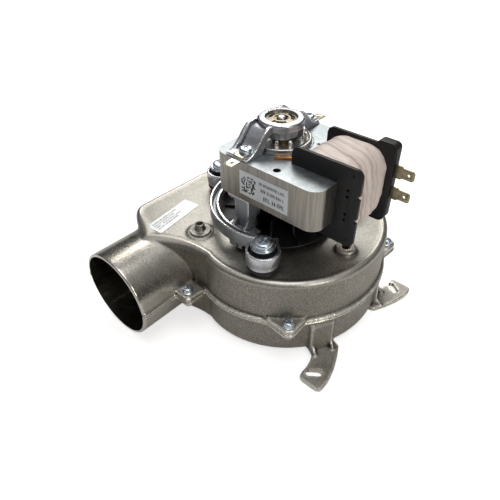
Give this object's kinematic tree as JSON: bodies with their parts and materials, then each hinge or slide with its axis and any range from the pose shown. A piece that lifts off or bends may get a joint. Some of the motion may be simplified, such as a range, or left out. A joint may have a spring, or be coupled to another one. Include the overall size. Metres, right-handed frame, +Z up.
{
  "type": "combustion fan",
  "caption": "Radial combustion fan: cast scroll casing with a round outlet, and a shaded-pole motor with a C-shaped stack on rubber mounts above it.",
  "frame": {"origin": "middle of the bounding box, on the surface that the casing stands on", "axes": "+Z up along the shaft, which stands at x = 6 mm, y = 8 mm; the outlet blows towards -Y; the coil and its terminals are on the +X side"},
  "size_m": [0.177, 0.193, 0.1344],
  "materials": {
    "cast_aluminium": "die cast, matt, worn bright along its edges",
    "bracket_aluminium": "die cast, satin",
    "zinc_steel": "zinc plated, slightly blue",
    "bright_steel": "ground, bright",
    "laminated_steel": "stack of thin sheets, brushed along the sheets",
    "black_plastic": "moulded, faint sheen",
    "black_rubber": "matt",
    "copper": "bare copper",
    "tinned_brass": "thinly tinned brass",
    "nickel": "nickel plated, warm",
    "winding_tape": "varnished tape over the winding, wrinkled lengthwise",
    "bronze": "sintered bronze",
    "foil_label": "printed foil"
  },
  "bodies": {
    "housing": {"casing_lower": "cast_aluminium", "casing_upper": "cast_aluminium", "casing_screw_1": "zinc_steel", "casing_screw_2": "zinc_steel", "casing_screw_3": "zinc_steel", "casing_screw_4": "zinc_steel", "casing_screw_5": "zinc_steel", "casing_screw_6": "zinc_steel", "pressure_nipple": "bright_steel", "casing_label": "foil_label", "shaft_seal": "bright_steel", "bearing_bracket_lower": "bracket_aluminium", "bearing_bracket_upper": "bracket_aluminium", "bearing_lower": "bronze", "bearing_upper": "bronze", "bearing_retainer_lower": "nickel", "bearing_retainer_upper": "nickel", "rubber_mount_1": "black_rubber", "rubber_mount_2": "black_rubber", "rubber_mount_3": "black_rubber", "mount_sleeve_1": "zinc_steel", "mount_sleeve_2": "zinc_steel", "mount_sleeve_3": "zinc_steel", "mount_screw_1": "zinc_steel", "mount_screw_2": "zinc_steel", "mount_screw_3": "zinc_steel", "stator_core": "laminated_steel", "stator_bar": "laminated_steel", "shading_loop_front": "copper", "shading_loop_rear": "copper", "stack_screw_front": "zinc_steel", "stack_screw_rear": "zinc_steel", "earth_tab_rear": "nickel", "earth_tab_front": "nickel", "coil_bobbin": "black_plastic", "coil_winding": "winding_tape", "spade_terminal_upper": "tinned_brass", "spade_terminal_lower": "tinned_brass", "motor_label": "foil_label"},
    "rotor": {"shaft": "bright_steel", "impeller_wheel": "bright_steel", "impeller_shroud": "bright_steel", "impeller_hub": "cast_aluminium", "impeller_washer": "zinc_steel", "impeller_nut": "zinc_steel", "cooling_fan": "black_plastic", "rotor_core": "laminated_steel", "rotor_end_ring_upper": "cast_aluminium", "rotor_end_ring_lower": "cast_aluminium", "rotor_spacer_upper": "bronze", "rotor_spacer_lower": "bronze"}
  },
  "joints": [
    {"name": "rotor_spin", "type": "hinge", "parent": "housing", "child": "rotor", "pos_m": [0.006, 0.008, 0.1], "axis": [0, 0, 1], "continuous": true}
  ]
}
